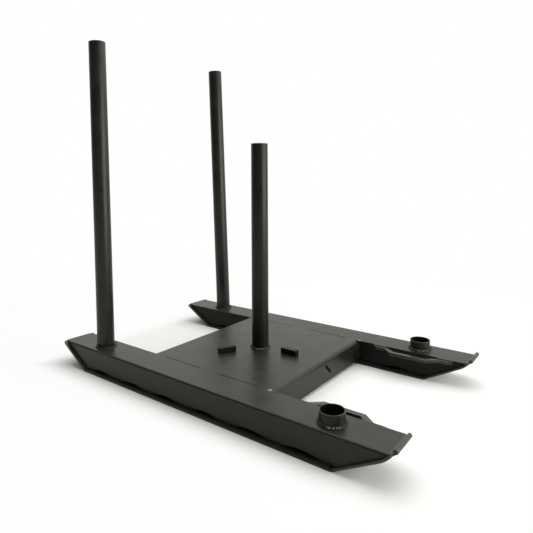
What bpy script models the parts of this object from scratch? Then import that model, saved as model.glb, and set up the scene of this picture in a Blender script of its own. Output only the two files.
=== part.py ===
"""Drag sled: folded H deck on two box runners, two lift-out push poles, one plate post.

Metres, +Z up, +X is the front (socket) end, the ground is z = 0 and y = 0 is the
middle plane.  "left" is the +Y runner and "right" is the -Y runner.
"""

import math

import bmesh
import bpy
from mathutils import Matrix, Vector

# Plate stock and the clearance left between pieces that touch
GAP = 0.0003
SHEET = 0.003
SIDE_PLATE = 0.004
FLOOR_PLATE = 0.004
SKID_PLATE = 0.004

# Folded deck sheet
SLED_WIDTH = 0.598
RUNNER_WIDTH = 0.086
DECK_HEIGHT = 0.067
SIDE_BEND = 0.005
DECK_BEND = 0.010
DECK_FRONT = 0.2046
DECK_REAR = 0.2087
FLANGE_FOOT = 0.0086
SHEET_PAST_FRONT = 0.110
SHEET_PAST_REAR = 0.108
BEND_STEPS = 8

# Skid strip under each runner
SKID_WIDTH = 0.101
SKID_FLAT = 0.401
SKID_BEND = 0.018
NOSE_ANGLE = math.radians(27.6)
NOSE_RUN = 0.101
LIP_BEND = 0.012
LIP_ANGLE = math.radians(36.0)
LIP_RUN = 0.0245
LIP_WIDTH = 0.076
LIP_SHOULDER = 0.0155
LIP_CORNER = 0.006
TAIL_ANGLE = math.radians(29.7)
TAIL_TIP = 0.0016
SKID_CORNER = 0.012
CORNER_STEPS = 6

# Floor plate that rests on the skid, short of its bends
FLOOR_INSET = 0.004

# Arched openings along the foot of each side plate
ARCH_COUNT = 6
ARCH_PITCH = 0.131
ARCH_WIDTH = 0.088
ARCH_RISE = 0.007
ARCH_STEPS = 14

# Tabs of the inner plates and their slots in the deck
TAB_NEAR = 0.028
TAB_LENGTH = 0.128

# Push poles and the sleeves they stand in
TUBE_RADIUS = 0.02415
TUBE_WALL = 0.0025
POLE_INSET = 0.030
POLE_LEAN = math.radians(2.43)
POLE_SHOWN = 0.889
SOCKET_RADIUS = 0.027
SOCKET_BORE = 0.0245
SLEEVE_PROUD = 0.002
CAP_RIM = 0.003
CAP_PLUG = 0.014
CAP_BEVEL = 0.0009
TUBE_STEPS = 64

# Open sockets at the front
SOCKET_INSET = 0.025
SOCKET_SHOWN = 0.0247
WELD_LEG = 0.0045
WELD_STEPS = 5

# Plate post in the middle of the deck
POST_SHOWN = 0.583
POST_WALL = 0.003

# Locating lugs round the post
LUG_COUNT = 3
LUG_RADIUS = 0.1015
LUG_LENGTH = 0.050
LUG_THICK = 0.0165
LUG_HEIGHT = 0.015
LUG_BEVEL = 0.0015

# Strap bow on the inner plate of each runner
BOW_PLATE = 0.008
BOW_SETBACK = 0.148
BOW_LENGTH = 0.225
BOW_FOOT = 0.0085
BOW_TAPER = 0.0135
BOW_REACH = 0.0312
BOW_BAR = 0.013
BOW_RISE_REAR = 0.036
BOW_TOP_REAR = 0.063
BOW_TOP_FRONT = 0.161
BOW_RISE_FRONT = 0.189
BOW_EYE_REAR = 0.046
BOW_EYE_FRONT = 0.178
BOW_EYE_CORNER = 0.0055
BOW_BEVEL = 0.0006

# Slanted round-ended slot in the front flange
FLANGE_SLOT_WIDTH = 0.0085
FLANGE_SLOT_LENGTH = 0.040
FLANGE_SLOT_SLANT = math.radians(41.0)
FLANGE_SLOT_Y = 0.031
FLANGE_SLOT_Z = 0.0404
SLOT_STEPS = 8

# Sizes that follow from the ones above
HALF = SLED_WIDTH / 2.0
INNER_FACE = HALF - RUNNER_WIDTH
RUNNER_MID = HALF - RUNNER_WIDTH / 2.0
SLOT_EDGE = INNER_FACE + SIDE_PLATE + GAP
SHEET_UNDER = DECK_HEIGHT - SHEET
FLOOR_LOW = SKID_PLATE + GAP
FLOOR_TOP = FLOOR_LOW + FLOOR_PLATE
PLATE_FOOT = FLOOR_TOP + GAP
TAIL_X = -SKID_FLAT - DECK_HEIGHT / math.tan(TAIL_ANGLE)
FLOOR_HALF = SKID_FLAT - FLOOR_INSET
SHEET_FRONT = SKID_FLAT + SHEET_PAST_FRONT
SHEET_REAR = SKID_FLAT + SHEET_PAST_REAR
SOCKET_X = SKID_FLAT - SOCKET_INSET
POLE_BACK = SKID_FLAT - POLE_INSET
BOW_START = SKID_FLAT - BOW_SETBACK

# How far a cutter runs past what it cuts
CLEAR = 0.01

SIDES = ("left", "right")


def side_sign(side):
    """Return the sign of Y on one side of the sled."""
    return 1.0 if side == "left" else -1.0


def new_collection(name):
    """Return a fresh collection linked to the scene."""
    made = bpy.data.collections.new(name)
    bpy.context.scene.collection.children.link(made)
    return made


def material(name, colour, roughness, metallic):
    """Return a Principled material."""
    made = bpy.data.materials.new(name)
    made.use_nodes = True
    shader = made.node_tree.nodes["Principled BSDF"]
    shader.inputs["Base Color"].default_value = (colour[0], colour[1], colour[2], 1.0)
    shader.inputs["Roughness"].default_value = roughness
    shader.inputs["Metallic"].default_value = metallic
    return made


def add_object(name, data, home, look=None):
    """Link a mesh as an object and give it a material."""
    made = bpy.data.objects.new(name, data)
    home.objects.link(made)
    if look is not None:
        data.materials.append(look)
    return made


def mesh_from(bm, name):
    """Close a bmesh into mesh data with outward normals."""
    bmesh.ops.recalc_face_normals(bm, faces=bm.faces)
    data = bpy.data.meshes.new(name)
    bm.to_mesh(data)
    bm.free()
    return data


def prism(name, outline, axis, low, high):
    """Extrude a flat outline between two levels of one axis.

    The outline holds (x, z) pairs for axis "y" and (x, y) pairs for axis "z".
    """
    bm = bmesh.new()
    corners = []
    for a, b in outline:
        spot = (a, low, b) if axis == "y" else (a, b, low)
        corners.append(bm.verts.new(spot))
    face = bm.faces.new(corners)
    grown = bmesh.ops.extrude_face_region(bm, geom=[face])
    moved = [item for item in grown["geom"] if isinstance(item, bmesh.types.BMVert)]
    step = (0.0, high - low, 0.0) if axis == "y" else (0.0, 0.0, high - low)
    bmesh.ops.translate(bm, verts=moved, vec=step)
    return mesh_from(bm, name)


def box(name, low, high):
    """Return a box mesh between two corners."""
    bm = bmesh.new()
    low = Vector(low)
    high = Vector(high)
    size = Matrix.Diagonal((high - low).to_4d())
    size[3][3] = 1.0
    bmesh.ops.create_cube(bm, size=1.0, matrix=Matrix.Translation((low + high) / 2.0) @ size)
    return mesh_from(bm, name)


def cylinder(name, radius, reach, steps=TUBE_STEPS):
    """Return a plain cylinder along Z that runs a reach to each side of its origin."""
    bm = bmesh.new()
    bmesh.ops.create_cone(
        bm,
        cap_ends=True,
        segments=steps,
        radius1=radius,
        radius2=radius,
        depth=2.0 * reach,
    )
    return mesh_from(bm, name)


def turned(name, profile, home, look, spot, lean=0.0, closed=True):
    """Turn a (radius, z) profile about Z, then stand the piece on its spot.

    The lean tips the piece rearward about its own origin.  An open profile has
    its two ends on the axis.
    """
    bm = bmesh.new()
    line = [bm.verts.new((radius, 0.0, z)) for radius, z in profile]
    for first, second in zip(line, line[1:]):
        bm.edges.new((first, second))
    if closed:
        bm.edges.new((line[-1], line[0]))
    data = bpy.data.meshes.new(name + "_profile")
    bm.to_mesh(data)
    bm.free()
    made = add_object(name, data, home)
    sweep = made.modifiers.new("turn", "SCREW")
    sweep.axis = "Z"
    sweep.angle = 2.0 * math.pi
    sweep.steps = TUBE_STEPS
    sweep.render_steps = TUBE_STEPS
    sweep.use_merge_vertices = True
    sweep.merge_threshold = 0.000001
    graph = bpy.context.evaluated_depsgraph_get()
    solid = bpy.data.meshes.new_from_object(made.evaluated_get(graph))
    made.modifiers.clear()
    made.data = solid
    bpy.data.meshes.remove(data)
    bm = bmesh.new()
    bm.from_mesh(solid)
    bmesh.ops.recalc_face_normals(bm, faces=bm.faces)
    bm.to_mesh(solid)
    bm.free()
    solid.name = name
    solid.materials.append(look)
    solid.shade_smooth()
    solid.set_sharp_from_angle(angle=math.radians(35.0))
    made.location = spot
    made.rotation_euler = (0.0, -lean, 0.0)
    return made


def cut(target, data, name, home):
    """Subtract a mesh from the target with an exact Boolean and return the cutter."""
    tool = add_object(name, data, home)
    tool.hide_render = True
    tool.display_type = "WIRE"
    step = target.modifiers.new(name, "BOOLEAN")
    step.operation = "DIFFERENCE"
    step.solver = "EXACT"
    step.object = tool
    return tool


def bevel(target, width, steps, limit=math.radians(40.0)):
    """Round the sharp edges of a piece."""
    step = target.modifiers.new("edge_round", "BEVEL")
    step.width = width
    step.segments = steps
    step.limit_method = "ANGLE"
    step.angle_limit = limit


def rounded_path(corners, radii, steps):
    """Replace each inner corner of a polyline by an arc of the given radius."""
    path = [Vector(corners[0])]
    for index in range(1, len(corners) - 1):
        before = Vector(corners[index - 1])
        here = Vector(corners[index])
        after = Vector(corners[index + 1])
        back = (before - here).normalized()
        ahead = (after - here).normalized()
        half = back.angle(ahead) / 2.0
        radius = radii[index - 1]
        reach = radius / math.tan(half)
        bisector = (back + ahead).normalized()
        centre = here + bisector * (radius / math.sin(half))
        start = here + back * reach - centre
        end = here + ahead * reach - centre
        turn = start.angle_signed(end)
        for step in range(steps + 1):
            angle = -turn * step / steps
            cosine = math.cos(angle)
            sine = math.sin(angle)
            spoke = Vector((start.x * cosine - start.y * sine, start.x * sine + start.y * cosine))
            path.append(centre + spoke)
    path.append(Vector(corners[-1]))
    return path


def offset_path(path, distance):
    """Shift a polyline to its left side by a distance, mitred at each corner."""
    shifted = []
    count = len(path)
    for index in range(count):
        ahead = (path[min(index + 1, count - 1)] - path[min(index, count - 2)]).normalized()
        back = (path[max(index, 1)] - path[max(index - 1, 0)]).normalized()
        first = Vector((-back.y, back.x))
        second = Vector((-ahead.y, ahead.x))
        mean = (first + second).normalized()
        shifted.append(path[index] + mean * (distance / mean.dot(second)))
    return shifted


def skid_path():
    """Return the ground face of the skid strip as (x, z) points, tail to lip."""
    nose = Vector((SKID_FLAT + NOSE_RUN, NOSE_RUN * math.tan(NOSE_ANGLE)))
    lip = nose + Vector((LIP_RUN, LIP_RUN * math.tan(LIP_ANGLE)))
    corners = [(TAIL_X, DECK_HEIGHT), (-SKID_FLAT, 0.0), (SKID_FLAT, 0.0), nose, lip]
    return rounded_path(corners, [SKID_BEND, SKID_BEND, LIP_BEND], BEND_STEPS)


def skid_outline():
    """Return the closed section of the skid strip, its tail cut level with the deck."""
    outer = skid_path()
    inner = offset_path(outer, SKID_PLATE)
    level = Vector((TAIL_X + SKID_PLATE / math.sin(TAIL_ANGLE), DECK_HEIGHT))
    tail = rounded_path([level, outer[0], outer[1]], [TAIL_TIP], BEND_STEPS)
    return [tuple(p) for p in tail + outer[2:] + list(reversed(inner[1:]))]


def below_skid():
    """Return the region under the skid's upper face, used to trim the side plates."""
    upper = offset_path(skid_path(), SKID_PLATE + GAP)
    past = 5.0 * CLEAR
    first = upper[0]
    last = upper[-1]
    outline = [tuple(p) for p in upper]
    outline.append((last.x + past, last.y + past * math.tan(LIP_ANGLE)))
    outline.append((last.x + past, -past))
    outline.append((first.x - past, -past))
    outline.append((first.x - past, first.y + past * math.tan(TAIL_ANGLE)))
    return outline


def corner_waste(x, y, radius, ahead, aside):
    """Return what a plan corner loses when it is rounded, as an (x, y) outline.

    The corner is at (x, y); ahead and aside are the signs of its outward sides.
    """
    centre = (x - ahead * radius, y - aside * radius)
    outline = [(centre[0], y + aside * CLEAR), (centre[0], y)]
    for step in range(1, CORNER_STEPS):
        angle = 0.5 * math.pi * step / CORNER_STEPS
        across = centre[0] + ahead * radius * math.sin(angle)
        outline.append((across, centre[1] + aside * radius * math.cos(angle)))
    outline.append((x, centre[1]))
    outline.append((x + ahead * CLEAR, centre[1]))
    outline.append((x + ahead * CLEAR, y + aside * CLEAR))
    return outline


def arch(centre):
    """Return one arched opening at the foot of a plate as an (x, z) outline."""
    half = ARCH_WIDTH / 2.0
    radius = (half * half + ARCH_RISE * ARCH_RISE) / (2.0 * ARCH_RISE)
    middle = PLATE_FOOT + ARCH_RISE - radius
    sweep = math.asin(half / radius)
    outline = [(centre - half, PLATE_FOOT - FLOOR_PLATE / 2.0)]
    for step in range(ARCH_STEPS + 1):
        angle = -sweep + 2.0 * sweep * step / ARCH_STEPS
        outline.append((centre + radius * math.sin(angle), middle + radius * math.cos(angle)))
    outline.append((centre + half, PLATE_FOOT - FLOOR_PLATE / 2.0))
    return outline


def arch_centres():
    """Return the x positions of the arched openings."""
    first = -ARCH_PITCH * (ARCH_COUNT - 1) / 2.0
    return [first + ARCH_PITCH * index for index in range(ARCH_COUNT)]


def plate_profile(top, rear, front):
    """Return the outline of an inner plate: trimmed ends, arches and tabs."""
    outline = [(rear, top)]
    for sign in (-1.0, 1.0):
        edges = sorted((sign * TAB_NEAR, sign * (TAB_NEAR + TAB_LENGTH)))
        outline.append((edges[0], top))
        outline.append((edges[0], DECK_HEIGHT - GAP))
        outline.append((edges[1], DECK_HEIGHT - GAP))
        outline.append((edges[1], top))
    outline.append((front, top))
    outline.append((front, PLATE_FOOT))
    for centre in reversed(arch_centres()):
        for point in reversed(arch(centre)[1:-1]):
            outline.append(point)
    outline.append((rear, PLATE_FOOT))
    return outline


def slot_outline():
    """Return a slot with round ends as (x, y) points, its length along X."""
    radius = FLANGE_SLOT_WIDTH / 2.0
    reach = FLANGE_SLOT_LENGTH / 2.0 - radius
    outline = []
    for end in (1.0, -1.0):
        for step in range(SLOT_STEPS + 1):
            angle = math.pi * (step / SLOT_STEPS - 0.5)
            across = end * (reach + radius * math.cos(angle))
            outline.append((across, end * radius * math.sin(angle)))
    return outline


def weld_profile(radius, level):
    """Return the (radius, z) profile of a fillet weld round a tube."""
    inner = radius + GAP
    low = level + GAP
    profile = [(inner, low), (inner + WELD_LEG, low)]
    for step in range(1, WELD_STEPS):
        angle = 0.5 * math.pi * step / WELD_STEPS
        bulge = 0.12 * WELD_LEG * math.sin(2.0 * angle)
        across = inner + WELD_LEG * (1.0 - step / WELD_STEPS) + bulge
        above = low + WELD_LEG * step / WELD_STEPS + bulge
        profile.append((across, above))
    profile.append((inner, low + WELD_LEG))
    return profile


def cap_profile(bore, level):
    """Return the profile of a push-in cap: a plug in the bore under a rim."""
    seat = level + GAP
    crown = seat + CAP_RIM
    return [
        (0.0, level - CAP_PLUG),
        (bore - GAP - CAP_BEVEL, level - CAP_PLUG),
        (bore - GAP, level - CAP_PLUG + CAP_BEVEL),
        (bore - GAP, seat),
        (TUBE_RADIUS, seat),
        (TUBE_RADIUS, crown - CAP_BEVEL),
        (TUBE_RADIUS - CAP_BEVEL, crown),
        (0.0, crown),
    ]


def tube_profile(inner, outer, low, high):
    """Return the profile of a plain tube."""
    return [(outer, high), (outer, low), (inner, low), (inner, high)]


def folded_sheet():
    """Return the H-shaped deck with its four bent flanges as one open surface."""
    bm = bmesh.new()
    edge = HALF - SIDE_BEND
    front = DECK_FRONT - DECK_BEND
    rear = DECK_BEND - DECK_REAR
    tongue = INNER_FACE - GAP
    plan = []
    for x, y in (
        (-SHEET_REAR, -edge),
        (SHEET_FRONT, -edge),
        (SHEET_FRONT, -INNER_FACE),
        (front, -INNER_FACE),
        (front, -tongue),
        (front, tongue),
        (front, INNER_FACE),
        (SHEET_FRONT, INNER_FACE),
        (SHEET_FRONT, edge),
        (-SHEET_REAR, edge),
        (-SHEET_REAR, INNER_FACE),
        (rear, INNER_FACE),
        (rear, tongue),
        (rear, -tongue),
        (rear, -INNER_FACE),
        (-SHEET_REAR, -INNER_FACE),
    ):
        plan.append(bm.verts.new((x, y, DECK_HEIGHT)))
    bm.faces.new(plan)

    def fold(first, second, radius, outward, drop):
        """Bend a flange down from the edge between two plan corners."""
        row = [first, second]
        for step in range(1, BEND_STEPS + 1):
            angle = 0.5 * math.pi * step / BEND_STEPS
            across = radius * math.sin(angle)
            down = radius * (1.0 - math.cos(angle))
            after = []
            for corner in (first, second):
                shift = Vector((outward[0] * across, outward[1] * across, -down))
                after.append(bm.verts.new(corner.co + shift))
            bm.faces.new((row[0], row[1], after[1], after[0]))
            row = after
        foot = []
        for corner in row:
            foot.append(bm.verts.new((corner.co.x, corner.co.y, DECK_HEIGHT - drop)))
        bm.faces.new((row[0], row[1], foot[1], foot[0]))

    side_drop = DECK_HEIGHT - PLATE_FOOT
    fold(plan[0], plan[1], SIDE_BEND, (0.0, -1.0), side_drop)
    fold(plan[8], plan[9], SIDE_BEND, (0.0, 1.0), side_drop)
    fold(plan[4], plan[5], DECK_BEND, (1.0, 0.0), DECK_HEIGHT - FLANGE_FOOT)
    fold(plan[12], plan[13], DECK_BEND, (-1.0, 0.0), DECK_HEIGHT - FLANGE_FOOT)
    return mesh_from(bm, "deck_sheet")


def build_sheet(home, tools, look):
    """Thicken the folded deck sheet and cut its ends, arches, slots and holes."""
    sheet = add_object("deck_sheet", folded_sheet(), home, look)
    skin = sheet.modifiers.new("thickness", "SOLIDIFY")
    skin.thickness = SHEET
    skin.offset = -1.0
    skin.use_even_offset = True

    wide = HALF + CLEAR
    cut(sheet, prism("sheet_trim", below_skid(), "y", -wide, wide), "sheet_trim", tools)
    for index, centre in enumerate(arch_centres()):
        for side in SIDES:
            sign = side_sign(side)
            low, high = sorted((sign * (HALF - SHEET - CLEAR), sign * wide))
            name = "sheet_arch_" + side + "_" + str(index + 1)
            cut(sheet, prism(name, arch(centre), "y", low, high), name, tools)
    for side in SIDES:
        sign = side_sign(side)
        for end in (-1.0, 1.0):
            where = side + ("_front" if end > 0.0 else "_rear")
            xs = sorted((end * (TAB_NEAR - GAP), end * (TAB_NEAR + TAB_LENGTH + GAP)))
            ys = sorted((sign * (INNER_FACE - GAP), sign * SLOT_EDGE))
            low = (xs[0], ys[0], SHEET_UNDER - SHEET)
            high = (xs[1], ys[1], DECK_HEIGHT + SHEET)
            cut(sheet, box("tab_slot", low, high), "tab_slot_" + where, tools)

            ledge = sign * (RUNNER_MID - SKID_WIDTH / 2.0 - GAP)
            reach = DECK_FRONT if end > 0.0 else DECK_REAR
            xs = sorted((end * (reach - 2.0 * SHEET), end * (reach + SHEET)))
            ys = sorted((ledge, sign * INNER_FACE))
            low = (xs[0], ys[0], -CLEAR)
            high = (xs[1], ys[1], PLATE_FOOT)
            cut(sheet, box("flange_relief", low, high), "flange_relief_" + where, tools)

        fitting = SOCKET_RADIUS + GAP
        hole = cut(sheet, cylinder("hole", fitting, CLEAR), "socket_hole_" + side, tools)
        hole.location = (SOCKET_X, sign * RUNNER_MID, DECK_HEIGHT)
        hole = cut(sheet, cylinder("hole", fitting, CLEAR), "sleeve_hole_" + side, tools)
        hole.location = (-POLE_BACK, sign * RUNNER_MID, DECK_HEIGHT)
        hole.rotation_euler = (0.0, -POLE_LEAN, 0.0)
    slot = cut(sheet, prism("slot", slot_outline(), "z", -CLEAR, CLEAR), "flange_slot", tools)
    slot.location = (DECK_FRONT, FLANGE_SLOT_Y, FLANGE_SLOT_Z)
    slot.rotation_euler = (math.radians(90.0), FLANGE_SLOT_SLANT, math.radians(90.0))


def build_skid(side, sign, home, tools, look):
    """Build the bent skid strip: level-cut tail, narrow lip, rounded corners."""
    name = "skid_" + side
    mid = sign * RUNNER_MID
    outline = skid_outline()
    half = SKID_WIDTH / 2.0
    skid = add_object(name, prism(name, outline, "y", mid - half, mid + half), home, look)
    tip = max(x for x, z in outline)
    tail = min(x for x, z in outline)
    shoulder = SKID_FLAT + NOSE_RUN + LIP_SHOULDER
    lip_half = LIP_WIDTH / 2.0
    for tag, aside in (("low", -1.0), ("high", 1.0)):
        ys = sorted((mid + aside * lip_half, mid + aside * (half + CLEAR)))
        notch = box("notch", (shoulder, ys[0], 0.0), (tip + CLEAR, ys[1], 2.0 * DECK_HEIGHT))
        cut(skid, notch, name + "_notch_" + tag, tools)
        for end, x, width, radius, ahead in (
            ("tail", tail, half, SKID_CORNER, -1.0),
            ("shoulder", shoulder, half, SKID_CORNER, 1.0),
            ("lip", tip, lip_half, LIP_CORNER, 1.0),
        ):
            waste = corner_waste(x, mid + aside * width, radius, ahead, aside)
            data = prism("waste", waste, "z", 0.0, 2.0 * DECK_HEIGHT)
            cut(skid, data, name + "_" + end + "_corner_" + tag, tools)


def build_runner(side, sign, home, tools, looks):
    """Build the inner plate, floor, skid, strap bow and sockets of one runner."""
    mid = sign * RUNNER_MID
    top = SHEET_UNDER - GAP
    low, high = sorted((sign * INNER_FACE, sign * (INNER_FACE + SIDE_PLATE)))
    name = "inner_plate_" + side
    outline = plate_profile(top, -SHEET_REAR, SHEET_FRONT)
    plate = add_object(name, prism(name, outline, "y", low, high), home, looks["plate"])
    trim = prism("trim", below_skid(), "y", low - CLEAR, high + CLEAR)
    cut(plate, trim, name + "_trim", tools)

    name = "runner_floor_" + side
    half = SKID_WIDTH / 2.0
    corner = (FLOOR_HALF, mid + half, FLOOR_TOP)
    data = box(name, (-FLOOR_HALF, mid - half, FLOOR_LOW), corner)
    add_object(name, data, home, looks["floor"])
    build_skid(side, sign, home, tools, looks["skid"])

    name = "strap_bow_" + side
    face = INNER_FACE - GAP
    inside = face - BOW_FOOT
    far = face - BOW_REACH
    outline = [
        (0.0, face),
        (BOW_TAPER, inside),
        (BOW_RISE_REAR, inside),
        (BOW_TOP_REAR, far),
        (BOW_TOP_FRONT, far),
        (BOW_RISE_FRONT, inside),
        (BOW_LENGTH - BOW_TAPER, inside),
        (BOW_LENGTH, face),
        (BOW_EYE_FRONT, face),
        (BOW_TOP_FRONT - BOW_EYE_CORNER, far + BOW_BAR),
        (BOW_TOP_REAR + BOW_EYE_CORNER, far + BOW_BAR),
        (BOW_EYE_REAR, face),
    ]
    outline = [(BOW_START + x, sign * y) for x, y in outline]
    data = prism(name, outline, "z", top - BOW_PLATE, top)
    bevel(add_object(name, data, home, looks["bow"]), BOW_BEVEL, 1)

    spot = (SOCKET_X, mid, 0.0)
    profile = tube_profile(SOCKET_BORE, SOCKET_RADIUS, PLATE_FOOT, DECK_HEIGHT + SOCKET_SHOWN)
    turned("front_socket_" + side, profile, home, looks["socket"], spot)
    profile = weld_profile(SOCKET_RADIUS, DECK_HEIGHT)
    turned("socket_weld_" + side, profile, home, looks["weld"], spot)


def build_sleeve(side, sign, home, tools, look):
    """Build one leaning pole sleeve whose two ends are cut level."""
    name = "pole_sleeve_" + side
    mid = sign * RUNNER_MID
    spot = (-POLE_BACK, mid, DECK_HEIGHT)
    profile = tube_profile(SOCKET_BORE, SOCKET_RADIUS, -DECK_HEIGHT, SLEEVE_PROUD + CLEAR)
    sleeve = turned(name, profile, home, look, spot, POLE_LEAN)
    wide = 2.0 * SOCKET_RADIUS
    for tag, low, high in (
        ("foot", -2.0 * CLEAR, PLATE_FOOT),
        ("head", DECK_HEIGHT + SLEEVE_PROUD, DECK_HEIGHT + SLEEVE_PROUD + 2.0 * CLEAR),
    ):
        data = box(tag, (-POLE_BACK - wide, mid - wide, low), (-POLE_BACK + wide, mid + wide, high))
        cut(sleeve, data, name + "_" + tag, tools)


def build_pole(side, sign, home, looks):
    """Build one lift-out push pole and its end cap, origin on the pole's axis."""
    spot = (-POLE_BACK, sign * RUNNER_MID, DECK_HEIGHT)
    bore = TUBE_RADIUS - TUBE_WALL
    heel = PLATE_FOOT + TUBE_RADIUS * math.sin(POLE_LEAN)
    low = (heel - DECK_HEIGHT) / math.cos(POLE_LEAN)
    profile = tube_profile(bore, TUBE_RADIUS, low, POLE_SHOWN)
    turned("push_pole_" + side, profile, home, looks["pole"], spot, POLE_LEAN)
    profile = cap_profile(bore, POLE_SHOWN)
    turned("pole_cap_" + side, profile, home, looks["cap"], spot, POLE_LEAN, closed=False)


def build_post(home, looks):
    """Build the plate post with its weld and cap, and the lugs round it."""
    bore = TUBE_RADIUS - POST_WALL
    low = DECK_HEIGHT + GAP
    high = DECK_HEIGHT + POST_SHOWN
    spot = (0.0, 0.0, 0.0)
    profile = tube_profile(bore, TUBE_RADIUS, low, high)
    turned("plate_post", profile, home, looks["post"], spot)
    turned("post_cap", cap_profile(bore, high), home, looks["cap"], spot, closed=False)
    turned("post_weld", weld_profile(TUBE_RADIUS, DECK_HEIGHT), home, looks["weld"], spot)
    half = (LUG_LENGTH / 2.0, LUG_THICK / 2.0)
    for index in range(LUG_COUNT):
        name = "deck_lug_" + str(index + 1)
        data = box(name, (-half[0], -half[1], 0.0), (half[0], half[1], LUG_HEIGHT))
        lug = add_object(name, data, home, looks["lug"])
        turn = 2.0 * math.pi * index / LUG_COUNT
        lug.location = (LUG_RADIUS * math.cos(turn), LUG_RADIUS * math.sin(turn), low)
        lug.rotation_euler = (0.0, 0.0, turn)
        bevel(lug, LUG_BEVEL, 2)


def main():
    """Clear the scene and build every piece of the sled, centred on its length."""
    for old in list(bpy.data.objects):
        bpy.data.objects.remove(old, do_unlink=True)
    home = new_collection("drag_sled")
    tools = new_collection("cutters")
    looks = {
        "sheet": material("deck_black_powder", (0.055, 0.057, 0.052), 0.55, 0.0),
        "plate": material("plate_black_powder", (0.040, 0.041, 0.040), 0.60, 0.0),
        "floor": material("floor_black_powder", (0.045, 0.046, 0.044), 0.60, 0.0),
        "skid": material("skid_black_powder", (0.035, 0.036, 0.035), 0.55, 0.0),
        "bow": material("bow_black_powder", (0.050, 0.052, 0.048), 0.55, 0.0),
        "socket": material("socket_black_powder", (0.048, 0.050, 0.046), 0.50, 0.0),
        "sleeve": material("sleeve_black_powder", (0.048, 0.050, 0.046), 0.52, 0.0),
        "weld": material("weld_bead", (0.075, 0.075, 0.070), 0.42, 0.1),
        "pole": material("pole_black_powder", (0.042, 0.044, 0.040), 0.50, 0.0),
        "post": material("post_black_powder", (0.043, 0.045, 0.041), 0.50, 0.0),
        "lug": material("lug_black_powder", (0.045, 0.046, 0.043), 0.55, 0.0),
        "cap": material("cap_black_plastic", (0.020, 0.020, 0.020), 0.45, 0.0),
    }
    build_sheet(home, tools, looks["sheet"])
    for side in SIDES:
        sign = side_sign(side)
        build_runner(side, sign, home, tools, looks)
        build_sleeve(side, sign, home, tools, looks["sleeve"])
        build_pole(side, sign, home, looks)
    build_post(home, looks)
    length = [x for x, z in skid_outline()]
    middle = (min(length) + max(length)) / 2.0
    for made in list(home.objects) + list(tools.objects):
        made.location.x -= middle


main()
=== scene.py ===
"""Looks of a low steel drag sled: folded deck, box runners, skids, poles and post.

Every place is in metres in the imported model's own frame: +X is the front, the
ground is z = 0, the left runner lies on +Y.
"""

import logging
import math
from collections.abc import Callable
from dataclasses import dataclass
from enum import Enum
from typing import ClassVar

import bmesh
import bpy
from mathutils import Matrix, Vector, noise


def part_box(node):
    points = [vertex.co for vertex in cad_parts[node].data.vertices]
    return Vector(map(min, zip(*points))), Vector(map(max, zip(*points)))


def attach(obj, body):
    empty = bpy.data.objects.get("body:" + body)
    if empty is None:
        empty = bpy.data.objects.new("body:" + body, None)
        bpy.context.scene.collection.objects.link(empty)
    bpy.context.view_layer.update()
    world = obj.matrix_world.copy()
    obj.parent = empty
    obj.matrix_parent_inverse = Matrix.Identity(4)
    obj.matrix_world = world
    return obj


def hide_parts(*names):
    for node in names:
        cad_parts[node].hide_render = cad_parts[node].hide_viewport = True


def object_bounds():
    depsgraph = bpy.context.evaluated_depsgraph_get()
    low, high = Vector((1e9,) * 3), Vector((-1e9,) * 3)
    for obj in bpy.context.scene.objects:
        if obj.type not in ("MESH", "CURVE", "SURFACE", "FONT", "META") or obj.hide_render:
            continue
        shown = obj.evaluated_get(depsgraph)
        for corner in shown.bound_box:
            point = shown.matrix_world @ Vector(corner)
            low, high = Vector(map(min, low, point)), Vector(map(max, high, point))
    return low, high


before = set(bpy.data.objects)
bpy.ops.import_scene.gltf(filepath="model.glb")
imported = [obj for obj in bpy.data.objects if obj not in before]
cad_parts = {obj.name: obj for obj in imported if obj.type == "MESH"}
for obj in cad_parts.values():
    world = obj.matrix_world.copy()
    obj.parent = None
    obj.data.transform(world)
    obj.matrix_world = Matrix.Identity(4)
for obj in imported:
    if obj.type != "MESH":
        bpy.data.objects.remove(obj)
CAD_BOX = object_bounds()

LOG = logging.getLogger("drag_sled")

# Angles that part smooth from sharp, rim from wall and flat from folded
SMOOTH_LIMIT = math.radians(32.0)
RIM_ANGLE = math.radians(60.0)
FLAT_ANGLE = math.radians(0.8)

# Distances within which two places count as one
CAD_MERGE = 0.000004
SPUN_MERGE = 0.0000005
ON_PLANE = 0.0000001
SAME_SPOT = 0.00001
TOUCHING = 0.00005

# Measures that several pieces share
DECK_TOP = 0.067
RUNNER_FLOOR = 0.0086
GAP = 0.0003
PIPE_RADIUS = 0.02415
INNER_FACE = 0.213

# Short names of types that come up often
Triple = tuple[float, float, float]
Pair = tuple[float, float]
Shape = bmesh.types.BMesh
Edge = bmesh.types.BMEdge
Material = bpy.types.Material
Tree = bpy.types.NodeTree
Node = bpy.types.Node
Socket = bpy.types.NodeSocket

WHITE: Triple = (1.0, 1.0, 1.0)
BLACK: Triple = (0.0, 0.0, 0.0)
UP = Vector((0.0, 0.0, 1.0))


class Side(Enum):
    """The two runners."""

    LEFT = 1.0
    RIGHT = -1.0

    @property
    def tag(self) -> str:
        """The word that ends this side's node names."""
        return self.name.lower()


class Body(Enum):
    """The bodies that pieces ride on."""

    SLED = "sled"
    POLE_LEFT = "pole_left"
    POLE_RIGHT = "pole_right"

    @classmethod
    def pole(cls, side: Side) -> "Body":
        """The body of one push pole."""
        return cls.POLE_LEFT if side is Side.LEFT else cls.POLE_RIGHT


class Effect(Enum):
    """The effects that more than one finish uses."""

    GRAIN = "powder_grain"
    WORN_AND_HIGHLIT = "polished_and_highlit_edges"
    DUST = "settled_dust"
    SCUFFS = "scuffs"


class BeadForm(Enum):
    """How a straight bead lies on its seam."""

    FILLET = "in a corner, between two faces"
    FLUSH = "as a low crown over a butt joint"


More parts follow.
